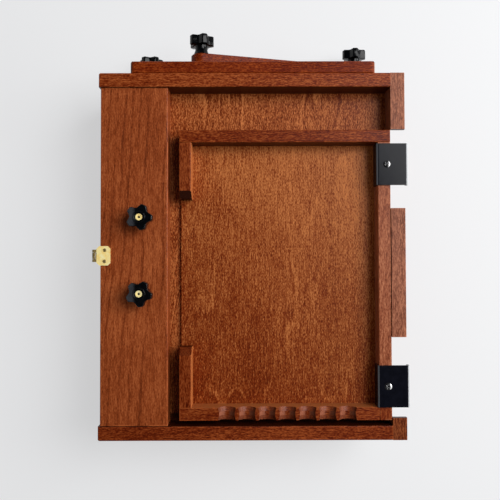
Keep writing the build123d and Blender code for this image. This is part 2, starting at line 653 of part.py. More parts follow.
def catch_leaf():
    """Leaf that hangs from the pin, with an open fork that drops over the stud."""
    pin_y, pin_z = CATCH_PIN
    half = CATCH_TAB_HALF / 2
    sheet_y = (pin_y, pin_y + CATCH_SHEET)
    strap_z = (CATCH_LEAF_BOTTOM_Z, pin_z - CATCH_CURL_R - CATCH_STRAP_DROP)
    strap = block((-CATCH_TAB_HALF, CATCH_TAB_HALF), sheet_y, strap_z)
    strap = fillet(strap.edges().filter_by(Axis.Y), CATCH_STRAP_ROUND)
    leaf = strap + rod_x(CATCH_CURL_R, (-half, half), pin_y, pin_z)
    leaf += block((-half, half), sheet_y, (strap_z[1] - 1, pin_z))
    mouth = STRIKE_R + FORK_GAP
    through_y = (sheet_y[0] - 1, sheet_y[1] + 1)
    leaf -= block((-mouth, mouth), through_y, (0, STRIKE_Z))
    leaf -= rod_y(mouth, through_y, 0, STRIKE_Z)
    return leaf - rod_x(CATCH_PIN_R + RUNNING, (-CATCH_HALF, CATCH_HALF), pin_y, pin_z)


def catch():
    pin_y, pin_z = CATCH_PIN
    stud = rod_y(STRIKE_R, (pin_y - STRIKE_REACH, FRONT_Y + STRIKE_DEPTH), 0, STRIKE_Z)
    stud = chamfer(stud.edges().sort_by(Axis.Y)[0], STRIKE_EDGE)
    plate_top = PLANK_TOP_Z + CATCH_SHEET
    screws = []
    for x, y in CATCH_SCREWS:
        head = rod_z(CATCH_SCREW_HEAD_R, (plate_top, plate_top + CATCH_SCREW_HEAD), x, y)
        screws.append(head + rod_z(CATCH_SCREW_R, (PLANK_TOP_Z - CATCH_SCREW_LENGTH, plate_top), x, y))
    return {
        "catch_plate": catch_plate(),
        "catch_pin": rod_x(CATCH_PIN_R, (-CATCH_TAB_HALF, CATCH_TAB_HALF), pin_y, pin_z),
        "catch_leaf": catch_leaf(),
        "catch_stud": stud,
        "catch_screws": Compound(screws),
    }


# ---- lift-off tray --------------------------------------------------------
def brush_hollow():
    """Cutter for one hollow, along X and wider towards the rail's two faces."""
    half_chord = SCALLOP_CHORD / 2
    throat_r = (half_chord**2 + SCALLOP_DEPTH**2) / (2 * SCALLOP_DEPTH)
    half = TRAY_RAIL / 2 + 1
    flank = throat_r + SCALLOP_FLARE
    side = [(0, -half), (flank, -half), (throat_r, -SCALLOP_THROAT / 2), (throat_r, SCALLOP_THROAT / 2)]
    side += [(flank, half), (0, half)]
    cutter = turned(side)
    middle_x = TRAY_X[1] - TRAY_RAIL / 2
    return Pos(middle_x, 0, TRAY_TOP_Z + throat_r - SCALLOP_DEPTH) * Rot(0, 90, 0) * cutter


def brush_rail():
    """The tray's right rail, with seven round hollows for brush handles."""
    y_span = (TRAY_Y[0], TRAY_Y[1] - TRAY_RAIL)
    rail = block((TRAY_X[1] - TRAY_RAIL, TRAY_X[1]), y_span, (TRAY_FLOOR_Z[1], TRAY_TOP_Z))
    inner = rail.edges().filter_by(Axis.Y).group_by(Axis.Z)[-1].sort_by(Axis.X)[0]
    rail = chamfer(inner, EDGE * 0.8)
    hollow = brush_hollow()
    for index in range(SCALLOPS):
        rail -= Pos(0, SCALLOP_FIRST_Y + index * SCALLOP_PITCH, 0) * hollow
    return rail


def front_stub(x_span, free_end):
    """A short front rail of the tray, bevelled at its free end."""
    y_span = (TRAY_Y[0], TRAY_Y[0] + STUB_WIDTH)
    rail = block(x_span, y_span, (TRAY_FLOOR_Z[1], TRAY_TOP_Z))
    end = rail.edges().filter_by(Axis.Y).group_by(Axis.Z)[-1].sort_by(Axis.X)[free_end]
    rail = chamfer(end, STUB_BEVEL)
    inner = rail.edges().filter_by(Axis.X).group_by(Axis.Z)[-1].sort_by(Axis.Y)[-1]
    return fillet(inner, EDGE * 1.5)


def tray_hook(x_span):
    """A folded steel strap over the tray's back rail, with its outer end turned down."""
    under = TRAY_TOP_Z
    top = under + HOOK_STEEL
    inner_y = (HOOK_Y[0], HOOK_Y[0] + HOOK_STEEL)
    outer_y = (HOOK_Y[1] - HOOK_STEEL, HOOK_Y[1])
    hook = block(x_span, HOOK_Y, (under, top))
    hook += block(x_span, inner_y, (under - HOOK_INNER_DROP, top))
    hook += block(x_span, outer_y, (under - HOOK_OUTER_DROP, top))
    bends = hook.edges().filter_by(Axis.X)
    hook = fillet(bends.group_by(Axis.Z)[-1], HOOK_STEEL + HOOK_BEND)
    return hook - rod_z(HOOK_SCREW_R + FIXED, (under - 1, top + 1), sum(x_span) / 2, HOOK_SCREW_Y)


def hook_screw(x):
    top = TRAY_TOP_Z + HOOK_STEEL
    shank = rod_z(HOOK_SCREW_R, (TRAY_TOP_Z - HOOK_SCREW_LENGTH, top), x, HOOK_SCREW_Y)
    head = rod_z(HOOK_SCREW_HEAD_R, (top, top + HOOK_SCREW_HEAD), x, HOOK_SCREW_Y)
    return shank + chamfer(head.edges().sort_by(Axis.Z)[-1], HOOK_SCREW_EDGE)


def tray():
    floor = block(TRAY_X, TRAY_Y, TRAY_FLOOR_Z)
    rail_z = (TRAY_FLOOR_Z[1], TRAY_TOP_Z)
    left = block((TRAY_X[0], TRAY_X[0] + TRAY_RAIL), TRAY_Y, rail_z)
    back = block((TRAY_X[0] + TRAY_RAIL, TRAY_X[1]), (TRAY_Y[1] - TRAY_RAIL, TRAY_Y[1]), rail_z)
    left = fillet(left.edges().filter_by(Axis.Y).group_by(Axis.Z)[-1], EDGE)
    back = fillet(back.edges().filter_by(Axis.X).group_by(Axis.Z)[-1], EDGE * 0.8)
    hooks = {}
    screws = []
    for side, x_span in zip(("left", "right"), HOOKS_X):
        hooks[f"tray_hook_{side}"] = tray_hook(x_span)
        x = sum(x_span) / 2
        hole_z = (TRAY_TOP_Z - HOOK_SCREW_LENGTH - 1, TRAY_TOP_Z + 1)
        back -= rod_z(HOOK_SCREW_R + FIXED, hole_z, x, HOOK_SCREW_Y)
        screws.append(hook_screw(x))
    return {
        "tray_floor": floor,
        "tray_left_rail": left,
        "tray_back_rail": back,
        "tray_brush_rail": brush_rail(),
        "tray_front_stub_left": front_stub(FRONT_STUBS_X[0], -1),
        "tray_front_stub_right": front_stub(FRONT_STUBS_X[1], 0),
        "tray_hook_screws": Compound(screws),
        **hooks,
    }


SECTIONS = [
    base_box,
    tripod_mount,
    paint_store,
    palette,
    side_rails,
    back_lips,
    lid_box,
    canvas_ledge,
    masts,
    hinges,
    side_stay,
    mast_knobs,
    stay_knobs,
    catch,
    tray,
]

os.makedirs("parts", exist_ok=True)
for section in SECTIONS:
    for node, shape in section().items():
        export_step(shape, f"parts/{node}.step")
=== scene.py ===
import bmesh
import bpy
import json
from collections import namedtuple
from math import pi, radians
from mathutils import Matrix, Vector


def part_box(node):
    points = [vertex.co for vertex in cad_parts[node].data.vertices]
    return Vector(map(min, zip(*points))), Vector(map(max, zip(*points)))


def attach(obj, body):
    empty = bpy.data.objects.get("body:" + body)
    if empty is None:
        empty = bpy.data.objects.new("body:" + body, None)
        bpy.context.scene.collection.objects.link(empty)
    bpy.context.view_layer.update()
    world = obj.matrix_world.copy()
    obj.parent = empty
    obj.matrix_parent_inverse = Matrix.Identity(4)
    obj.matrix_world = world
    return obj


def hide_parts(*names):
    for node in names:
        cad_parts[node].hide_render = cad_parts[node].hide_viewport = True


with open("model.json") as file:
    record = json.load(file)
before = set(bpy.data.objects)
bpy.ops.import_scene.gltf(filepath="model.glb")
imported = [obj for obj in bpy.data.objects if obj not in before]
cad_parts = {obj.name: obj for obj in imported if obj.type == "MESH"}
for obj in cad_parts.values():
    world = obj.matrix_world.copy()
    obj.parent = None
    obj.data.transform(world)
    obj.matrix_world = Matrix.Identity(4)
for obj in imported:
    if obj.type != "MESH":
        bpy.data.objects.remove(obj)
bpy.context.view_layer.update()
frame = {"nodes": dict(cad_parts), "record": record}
nodes = frame["nodes"]
bodies = frame["record"]["behaviour"]["bodies"]
carriers = {name: body for body, names in bodies.items() for name in names}

# Sizes and places are in metres.
MM = 0.001
X, Y, Z = 0, 1, 2

# Photograph: looking straight down on the closed lid, with the painter's left at
# the top of the picture and the hinge side at the right.
FRAME_PIXELS = 500.0
FOCUS_PIXELS = 619.03
SENSOR = 36.0
CAMERA_PLACE = (0.00996, -0.00528, 0.74921)
PICTURE_RIGHT = (0.002604, 0.999987, 0.004459)
PICTURE_BACK = (0.024079, -0.004520, 0.999700)

LID_TOP = 0.100
FLOOR_HALF = 3.0
# The floor as it is seen: its own glow, and how much of the light and shadow on it shows.
FLOOR_LIFT = 0.56
FLOOR_KEEP = 0.345

KEY_PLACE = (-0.43, 0.93, 1.41)
KEY_SIZE = (1.1, 1.1)
KEY_WATTS = 28.5
WINDOW_PLACE = (-0.22, 1.75, 0.55)
WINDOW_SIZE = (0.9, 0.5)
WINDOW_WATTS = 14.0

# Light from all round, by height above the floor, and stronger from the box's front.
ZENITH_LIGHT = 0.06
HORIZON_LIGHT = 0.20
LIGHT_HEIGHTS = (0.25, 0.95)
FRONT_LIGHT = 2.3
FRONT_REACH = (-0.9, 0.1)
BACKDROP = 0.90
BACKDROP_HEIGHTS = (0.10, 0.60)


# ---- colours --------------------------------------------------------------
def paint(red, green, blue):
    """A colour given as display values from 0 to 255, made linear."""
    linear = []
    for value in (red, green, blue):
        part = value / 255
        linear.append(part / 12.92 if part <= 0.04045 else ((part + 0.055) / 1.055) ** 2.4)
    return (*linear, 1.0)


def shade(colour, factor):
    return (*(min(1.0, part * factor) for part in colour[:3]), 1.0)


# Each stain: dark, middle and light.
PLANK_TONE = (paint(118, 50, 17), paint(139, 64, 27), paint(158, 82, 41))
RAIL_TONE = (paint(99, 30, 2), paint(124, 50, 14), paint(153, 78, 36))
FOOT_RAIL_TONE = (paint(84, 22, 1), paint(109, 39, 7), paint(138, 64, 25))
LIP_TONE = (paint(108, 56, 34), paint(134, 77, 54), paint(160, 100, 72))
CORNER_TONE = (paint(80, 28, 5), paint(105, 46, 17), paint(134, 70, 34))
PANEL_TONE = (paint(106, 38, 3), paint(145, 70, 28), paint(184, 108, 58))
TRAY_TONE = (paint(106, 35, 2), paint(139, 66, 23), paint(176, 104, 54))
TRAY_RAIL_TONE = (paint(84, 20, 0), paint(111, 40, 5), paint(139, 67, 27))
TRAY_BACK_TONE = (paint(116, 54, 28), paint(145, 79, 50), paint(169, 104, 71))
STUB_TONE = (paint(76, 19, 1), paint(106, 38, 8), paint(134, 64, 28))
STAY_TONE = (paint(84, 17, 0), paint(106, 33, 3), paint(138, 59, 18))
BASE_TONE = (paint(99, 36, 8), paint(124, 56, 24), paint(150, 82, 44))

# Painted light on the faces towards +Y of the tray's stubs and of the stay track.
STUB_PAINTED_LIGHT = paint(198, 116, 62)
TRACK_PAINTED_LIGHT = paint(200, 156, 130)
# Painted light and shade in the brush hollows: their lit side, their shaded side, and a painted highlight
# on the wall towards the tray floor.
HOLLOW_PAINTED_LIGHT = (paint(152, 90, 66), paint(96, 50, 32), paint(176, 104, 56))

# Each of the other finishes: its colours, and where they stand on the pattern over it.
ENAMEL = [(0.3, paint(8, 9, 15)), (0.8, paint(16, 17, 26))]
PLASTIC = [(0.35, paint(2, 2, 3)), (0.85, paint(11, 13, 17))]
# A painted reflection on the tops of the plank's knobs, at their front.
PAINTED_REFLECTION_GREYS = [(0.3, paint(42, 43, 47)), (0.8, paint(62, 62, 66))]
BRASS = [(0.3, paint(255, 214, 120)), (0.5, paint(255, 236, 164)), (0.75, paint(255, 252, 212))]
DARKER_BRASS = [(0.3, paint(112, 92, 48)), (0.75, paint(158, 138, 88))]
BLACK_SCREW = [(0.3, paint(6, 6, 8)), (0.75, paint(30, 30, 34))]
BRASS_SCREW = [(0.3, paint(92, 76, 38)), (0.75, paint(176, 154, 98))]
PAPER = [(0.2, paint(233, 234, 237)), (0.8, paint(238, 239, 241))]

# Painted highlights on the enamel's bends: towards -Y, and brighter towards +Y.
BEND_HIGHLIGHT_FRONT = paint(98, 100, 104)
BEND_HIGHLIGHT_BACK = paint(186, 188, 190)
# Painted highlight on the screw heads' side towards +Y.
SCREW_HIGHLIGHT = paint(245, 245, 245)
# Painted shade inside the bolts' bores.
BORE_SHADE = paint(38, 28, 12)
SEEN_PAPER = paint(236, 237, 239)
SEEN_GLOW = (0.985, 0.99, 1.0, 1.0)
NO_GLOW = (0.0, 0.0, 0.0, 1.0)
WHITE = (1.0, 1.0, 1.0, 1.0)


# ---- shader wiring --------------------------------------------------------
class Flow:
    """A number on its way through a node tree; arithmetic on it adds Math nodes."""

    def __init__(self, wiring, socket):
        self.wiring = wiring
        self.socket = socket

    def _math(self, operation, first, second=0.0):
        return self.wiring.node("ShaderNodeMath", {"operation": operation}, {0: first, 1: second})

    def __add__(self, other):
        return self._math("ADD", self, other)

    def __radd__(self, other):
        return self._math("ADD", other, self)

    def __sub__(self, other):
        return self._math("SUBTRACT", self, other)

    def __rsub__(self, other):
        return self._math("SUBTRACT", other, self)

    def __mul__(self, other):
        return self._math("MULTIPLY", self, other)

    def __rmul__(self, other):
        return self._math("MULTIPLY", other, self)

    def __pow__(self, other):
        return self._math("POWER", self, other)

    def __abs__(self):
        return self._math("ABSOLUTE", self)

    def sine(self):
        return self._math("SINE", self)

    def root(self):
        return self._math("SQRT", self)

    def above(self, low, high):
        """0 below low, 1 above high, smooth between."""
        return self.wiring.node(
            "ShaderNodeMapRange",
            {"interpolation_type": "SMOOTHSTEP"},
            {"Value": self, "From Min": low, "From Max": high},
        )

    def slope(self, low, high, start, end):
        """start below low, end above high, straight between."""
        sockets = {"Value": self, "From Min": low, "From Max": high, "To Min": start, "To Max": end}
        return self.wiring.node("ShaderNodeMapRange", None, sockets)


class Wiring:
    """A node tree under construction."""

    def __init__(self, tree):
        self.tree = tree

    def node(self, kind, settings=None, sockets=None, output=0):
        made = self.tree.nodes.new(kind)
        for key, value in (settings or {}).items():
            if key == "stops":
                self._stops(made.color_ramp, value)
            else:
                setattr(made, key, value)
        for key, value in (sockets or {}).items():
            self.feed(made.inputs[key], value)
        return Flow(self, made.outputs[output])

    def _stops(self, ramp, stops):
        while len(ramp.elements) < len(stops):
            ramp.elements.new(0.5)
        for element, (place, colour) in zip(ramp.elements, stops):
            element.position = place
            element.color = colour

    def feed(self, socket, value):
        if isinstance(value, Flow):
            self.tree.links.new(value.socket, socket)
        else:
            socket.default_value = value

    def split(self, vector):
        parts = self.node("ShaderNodeSeparateXYZ", None, {0: vector})
        outputs = parts.socket.node.outputs
        return [Flow(self, outputs[axis]) for axis in (X, Y, Z)]

    def seen(self):
        """1 where a ray comes from the camera, a gloss or a clear piece, and 0 in lighting."""
        ways = [
            self.node("ShaderNodeLightPath", output=name)
            for name in ("Is Camera Ray", "Is Glossy Ray", "Is Transmission Ray")
        ]
        return ways[0] + ways[1] + ways[2]


class Finish(Wiring):
    """One material under construction."""

    def __init__(self, name, metallic=0.0, roughness=0.5, coat=0.0, coat_roughness=0.3, gloss=0.5):
        self.material = bpy.data.materials.new(name)
        self.material.use_nodes = True
        super().__init__(self.material.node_tree)
        self.shader = self.tree.nodes["Principled BSDF"]
        self.set("Metallic", metallic)
        self.set("Roughness", roughness)
        self.set("Specular IOR Level", gloss)
        self.set("Coat Weight", coat)
        self.set("Coat Roughness", coat_roughness)

    def set(self, name, value):
        self.feed(self.shader.inputs[name], value)

    def place(self):
        """The point on the object, as three numbers."""
        return self.split(self.node("ShaderNodeTexCoord", output="Object"))

    def outward(self):
        """Which way the surface faces along X, Y and Z, from -1 to 1."""
        return self.split(self.node("ShaderNodeTexCoord", output="Normal"))

    def point(self, x, y, z):
        return self.node("ShaderNodeCombineXYZ", None, {0: x, 1: y, 2: z})

    def noise(self, point, scale, detail, roughness):
        sockets = {"Vector": point, "Scale": scale, "Detail": detail, "Roughness": roughness}
        return self.node("ShaderNodeTexNoise", None, sockets)

    def speckle(self, marks):
        """Noise that runs alike in all directions over the object."""
        return self.noise(self.point(*self.place()), *marks)

    def ramp(self, value, stops):
        return self.node("ShaderNodeValToRGB", {"stops": stops}, {0: value})

    def mix(self, factor, first, second):
        sockets = {0: factor, 6: first, 7: second}
        return self.node("ShaderNodeMix", {"data_type": "RGBA"}, sockets, output=2)

    def bump(self, height, distance):
        self.set("Normal", self.node("ShaderNodeBump", None, {"Height": height, "Distance": distance}))
        return self


# ---- wood -----------------------------------------------------------------
# A pattern in wood: its marks to the metre along and across the fibres, its detail and
# roughness, a shift that keeps it off the others, and how far it moves the stain or figure.
Pattern = namedtuple("Pattern", "along across detail roughness shift weight", defaults=(None,))
WANDER = Pattern(2.4, 9.0, 2.0, 0.5, 11.0, 30 * MM)
WAVER = Pattern(11.0, 60.0, 2.0, 0.6, 23.0, 6 * MM)
FIBRES = Pattern(140.0, 1150.0, 1.0, 0.5, 0.0, 1.05)
THREADS = Pattern(48.0, 1000.0, 2.0, 0.6, 5.0, 0.50)
FLECKS = Pattern(420.0, 1200.0, 1.0, 0.5, 17.0, 1.05)
CLOUDS = Pattern(9.0, 30.0, 3.0, 0.6, 9.0, 0.60)
RING_GAPS = Pattern(7.0, 70.0, 2.0, 0.6, 41.0)
VENEER_FLECKS = Pattern(420.0, 1300.0, 1.0, 0.5, 0.0, 1.4)
VENEER_DASHES = Pattern(170.0, 1200.0, 2.0, 0.6, 5.0, 1.15)
VENEER_STREAKS = Pattern(30.0, 520.0, 3.0, 0.65, 9.0, 0.7)
VENEER_CLOUDS = Pattern(15.0, 26.0, 3.0, 0.6, 13.0, 0.42)
VENEER_FIGURE = Pattern(3.2, 11.0, 2.0, 0.5, 29.0)
VENEER_RAGS = Pattern(60.0, 300.0, 2.0, 0.6, 31.0, 0.022)
VENEER_GAPS = Pattern(9.0, 30.0, 2.0, 0.5, 37.0)
# How far one step of a board's seed moves its patterns, and the part of it that goes across.
SEED_STEP = 3.7
CROSS_STEP = 0.61

# A pattern that runs alike in all directions: its marks to the metre, detail and roughness.
Marks = namedtuple("Marks", "scale detail roughness")
RUBS = Marks(60.0, 3.0, 0.7)
PORES = Marks(1300.0, 2.0, 0.6)

# The tree's heart beside a board: to its side, below it, and its slant along the board.
Heart = namedtuple("Heart", "side depth slant")
RING_WIDTH = 7.5 * MM
RING_SHARPNESS = 7.0
RING_REST = 0.12
RING_DEPTH = 0.32
FIGURE_LINES = 13.0
VEIN_SHARPNESS = 14.0
VEIN_LAG = 0.9
PALE_VEIN = 0.30
DARK_VEIN = 0.22

# Where a pattern starts to count, and where it counts in full.
RING_SHOWS = (0.30, 0.66)
VEIN_SHOWS = (0.47, 0.62)
RUB_SHOWS = (0.42, 0.62)
PORE_SHOWS = (0.35, 0.62)
PLY_SHOWS = (-0.25, 0.25)

# How far a face has to turn one way before a finish starts on it, and before it covers it.
SQUARE_ON = (0.6, 0.9)
CUT_ACROSS = (0.55, 0.9)
CUT_SHEET = (0.3, 0.7)
PAINTED_SHADE_TURN = (0.45, 0.65)
HOLLOW_END = (0.1, 0.4)
HOLLOW_RIM = (0.93, 0.99)
HOLLOW_WALL = (0.02, 0.1)
HOLLOW_SIDE = (-0.45, 0.15)

# How much the painted light and shade hide of what is under them, and how far the wood's threads show
# through the painted light.
HOLLOW_SHADING_COVER = 0.85
LIT_WALL_COVER = 0.75
SHADE_BAND_COVER = 0.9
PAINTED_LIGHT_COVER = 0.75
PAINTED_LIGHT_THREADS = 0.8

# How much darker or lighter than its stain a part of the wood is, painted shade and edge wear with painted
# highlights included.
STAIN_DARKEST = 0.62
STAIN_LIGHTEST = 1.25
END_DARK = 0.35
END_LIGHT = 0.45
PAINTED_SHADE_DARK = 0.12
SHADE_BAND_DARK = 0.15
PLY_DARK = 0.8
WEAR_AND_HIGHLIGHT_LIGHT = 1.35

VARNISH = {"coat": 0.02, "coat_roughness": 0.25}
VENEER_GLOSS = 0.11
BOARD_SHEEN = 0.40
VENEER_SHEEN = 0.42
FIBRE_SHEEN = 0.3
CLOUD_SHEEN = 0.12
BOARD_RELIEF = 0.07 * MM
FIBRE_RELIEF = 0.6
THREAD_RELIEF = 0.4
RING_RELIEF = 0.15
VENEER_RELIEF = 0.08 * MM

EDGE_REACH = 1.4 * MM
EDGE_CORE = 0.15
# The width of the line where one finish gives way to another.
JOIN = 0.4 * MM


class Grain:
    """Places on one board measured along and across its fibres, for its patterns."""

    def __init__(self, finish, node, axis, seed):
        self.finish = finish
        self.axis = axis
        self.seed = seed
        self.place = finish.place()
        self.low, self.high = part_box(node)
        middle = (self.low + self.high) / 2
        first, second = [other for other in (X, Y, Z) if other != axis]
        self.along = self.place[axis] - middle[axis]
        self.across = self.place[first] - middle[first]
        self.deep = self.place[second] - middle[second]

    def noise(self, pattern):
        """One of the patterns above, from 0 to 1."""
        start = self.seed * SEED_STEP + pattern.shift
        point = self.finish.point(
            self.along * pattern.along + start,
            self.across * pattern.across + start * CROSS_STEP,
            self.deep * pattern.across,
        )
        return self.finish.noise(point, 1.0, pattern.detail, pattern.roughness)

    def swing(self, pattern):
        """One of the patterns above, to either side of 0."""
        return self.noise(pattern) - 0.5

    def growth(self, heart):
        """Distance from the tree's heart, wandering along the board."""
        side = self.across - heart.side + self.along * heart.slant
        depth = self.deep + heart.depth
        reach = (side * side + depth * depth).root()
        return reach + self.swing(WANDER) * WANDER.weight + self.swing(WAVER) * WAVER.weight

    def edges(self, reach):
        """1 along the board's outer edges, fading over a short reach."""
        near = []
        for axis in (X, Y, Z):
            middle = (self.low[axis] + self.high[axis]) / 2
            half = (self.high[axis] - self.low[axis]) / 2
            near.append(abs(self.place[axis] - middle).above(half - reach, half - reach * EDGE_CORE))
        return near[X] * near[Y] + near[Y] * near[Z] + near[X] * near[Z]


def stain_stops(tone):
    dark, middle, light = tone
    return [
        (0.0, shade(dark, STAIN_DARKEST)),
        (0.25, dark),
        (0.5, middle),
        (0.75, light),
        (1.0, shade(light, STAIN_LIGHTEST)),
    ]


def end_grain(grain, colours, tone, ends):
    """Darker, pored stain where the fibres are cut across."""
    finish = grain.finish
    cut = abs(finish.outward()[grain.axis]).above(*CUT_ACROSS)
    pores = finish.speckle(PORES).above(*PORE_SHOWS)
    pored = finish.mix(pores, shade(tone[0], END_DARK * ends), shade(tone[1], END_LIGHT * ends))
    return finish.mix(cut, colours, pored)


def scoop(finish, colours, tones):
    """Painted light and shade in the brush hollows, lit on the side towards +Y, and a painted highlight on
    the wall towards the tray floor.
    """
    lit, shaded, lit_wall = tones
    outward = finish.outward()
    rounded = (1.0 - abs(outward[X]).above(*HOLLOW_END)) * (1.0 - outward[Z].above(*HOLLOW_RIM))
    sides = finish.mix(outward[Y].above(*HOLLOW_SIDE), shaded, lit)
    colours = finish.mix(rounded * outward[Z].above(*HOLLOW_WALL) * HOLLOW_SHADING_COVER, colours, sides)
    return finish.mix((0.0 - outward[X]).above(*SQUARE_ON) * LIT_WALL_COVER, colours, lit_wall)


def board(node, axis, tone, seed, fibre=1.0, rings=0.5, blotch=1.0, drift=0.0, gloss=0.13, wear=0.4,
          ends=1.0, inner=0.0, heart=Heart(0.05, 0.05, 0.10), painted_light=None, corner=None, hollows=None):
    """Solid wood: fine dark fibres, slow growth lines and uneven stain under varnish.

    drift lightens it along the board, ends lightens its end grain, the painted shade darkens the faces
    towards +X (below 0, towards -X), the painted light colours the faces towards +Y, corner is a
    place along X and the stain past it, and the brush hollows take painted light and shade.
    """
    finish = Finish(f"hardwood_{node}", gloss=gloss, **VARNISH)
    grain = Grain(finish, node, axis, seed)
    wave = (grain.growth(heart) * (2 * pi / RING_WIDTH)).sine() * 0.5 + 0.5
    lines = (wave ** RING_SHARPNESS) * grain.noise(RING_GAPS).above(*RING_SHOWS)
    fibres, threads, flecks, clouds = (grain.swing(each) for each in (FIBRES, THREADS, FLECKS, CLOUDS))
    level = (
        0.5
        + fibres * (FIBRES.weight * fibre)
        + threads * (THREADS.weight * fibre)
        + flecks * (FLECKS.weight * fibre)
        + clouds * (CLOUDS.weight * blotch)
        + (RING_REST - lines) * (RING_DEPTH * rings)
        + grain.along * drift
    )
    colours = finish.ramp(level, stain_stops(tone))
    if corner:
        start, corner_tone = corner
        cover = grain.place[X].above(start, start + JOIN)
        colours = finish.mix(cover, colours, finish.ramp(level, stain_stops(corner_tone)))
    colours = end_grain(grain, colours, tone, ends)
    # Painted light: the faces towards +Y take a paler colour, as lit from that side.
    if painted_light:
        back = finish.outward()[Y].above(*SQUARE_ON)
        colours = finish.mix(back * (PAINTED_LIGHT_COVER + threads * PAINTED_LIGHT_THREADS), colours, painted_light)
    # Painted shade on the faces turned from the light: towards +X, and towards -X where the value is below
    # 0.
    if inner:
        side = finish.outward()[X] * (1.0 if inner > 0 else -1.0)
        cover = side.above(*PAINTED_SHADE_TURN) * abs(inner)
        colours = finish.mix(cover, colours, shade(tone[0], PAINTED_SHADE_DARK))
    # Painted light and shade in the brush hollows.
    if hollows:
        colours = scoop(finish, colours, hollows)
    # Edge wear and painted highlights: the edges are lighter in rubbed patches, partly from wear and
    # partly as painted highlights.
    worn_and_highlit = grain.edges(EDGE_REACH) * finish.speckle(RUBS).above(*RUB_SHOWS)
    finish.set("Base Color", finish.mix(worn_and_highlit * wear, colours, shade(tone[2], WEAR_AND_HIGHLIGHT_LIGHT)))
    finish.set("Roughness", BOARD_SHEEN + fibres * FIBRE_SHEEN + clouds * CLOUD_SHEEN)
    relief = fibres * FIBRE_RELIEF + threads * THREAD_RELIEF - lines * RING_RELIEF
    return finish.bump(relief, BOARD_RELIEF)


def plywood(node, axis, tone, seed, fleck=1.0, veins=1.0, drift=0.0, lean=0.0, painted_shade_reach=0.0, layers=5):
    """Stained veneer: crowded short flecks, ragged pale veins and cloudy stain.

    drift lightens it along the fibres and lean across them, the painted shade reach is the width of
    a band of painted shade at its +X side, and layers are the plies that its edges show.
    """
    finish = Finish(f"veneer_{node}", gloss=VENEER_GLOSS, **VARNISH)
    grain = Grain(finish, node, axis, seed)
    flecks, dashes, streaks, clouds = (
        grain.swing(each) for each in (VENEER_FLECKS, VENEER_DASHES, VENEER_STREAKS, VENEER_CLOUDS)
    )
    figure = grain.noise(VENEER_FIGURE) + grain.swing(VENEER_RAGS) * VENEER_RAGS.weight
    turns = figure * (2 * pi * FIGURE_LINES)
    wave = turns.sine() * 0.5 + 0.5
    late = (turns + VEIN_LAG).sine() * 0.5 + 0.5
    fading = grain.noise(VENEER_GAPS).above(*VEIN_SHOWS)
    level = (
        0.5
        + flecks * (VENEER_FLECKS.weight * fleck)
        + dashes * (VENEER_DASHES.weight * fleck)
        + streaks * (VENEER_STREAKS.weight * fleck)
        + clouds * VENEER_CLOUDS.weight
        + (wave ** VEIN_SHARPNESS) * fading * (PALE_VEIN * veins)
        - (late ** VEIN_SHARPNESS) * fading * (DARK_VEIN * veins)
        + grain.along * drift
        + grain.across * lean
    )
    colours = finish.ramp(level, stain_stops(tone))
    # Painted shade: a dark band along the +X side, where the panel lies in the shade of the rail beside
    # it.
    if painted_shade_reach:
        edge = grain.high[X]
        shade_band = grain.place[X].above(edge - painted_shade_reach, edge - painted_shade_reach / 2)
        colours = finish.mix(shade_band * SHADE_BAND_COVER, colours, shade(tone[0], SHADE_BAND_DARK))
    sheet = min((X, Y, Z), key=lambda side: grain.high[side] - grain.low[side])
    cut = 1.0 - abs(finish.outward()[sheet]).above(*CUT_SHEET)
    thickness = grain.high[sheet] - grain.low[sheet]
    layer = ((grain.place[sheet] - grain.low[sheet]) * (layers * pi / thickness)).sine()
    plies = finish.mix(layer.above(*PLY_SHOWS), shade(tone[0], PLY_DARK), tone[1])
    finish.set("Base Color", finish.mix(cut, colours, plies))
    finish.set("Roughness", VENEER_SHEEN + dashes * FIBRE_SHEEN + clouds * CLOUD_SHEEN)
    return finish.bump((flecks + dashes) * 0.5, VENEER_RELIEF)


def dress(names, finish):
    for name in names:
        slots = nodes[name].data.materials
        slots.clear()
        slots.append(finish.material)


RAIL_LOOK = {"fibre": 1.3, "rings": 0.4, "blotch": 1.2}
STAY_LOOK = {"fibre": 1.1, "rings": 0.4, "blotch": 1.2, "gloss": 0.08}
PLANK_HEART = Heart(0.06, 0.03, 0.09)
PLANK_LOOK = {"fibre": 1.05, "rings": 1.1, "blotch": 1.3, "gloss": 0.15, "wear": 0.9, "heart": PLANK_HEART}
# The stubs take painted shade on their ends towards +X and painted light on their faces towards +Y.
STUB_LOOK = {"fibre": 1.1, "gloss": 0.06, "inner": 0.85, "painted_light": STUB_PAINTED_LIGHT}
TRAY_CORNER = (0.1590, TRAY_RAIL_TONE)

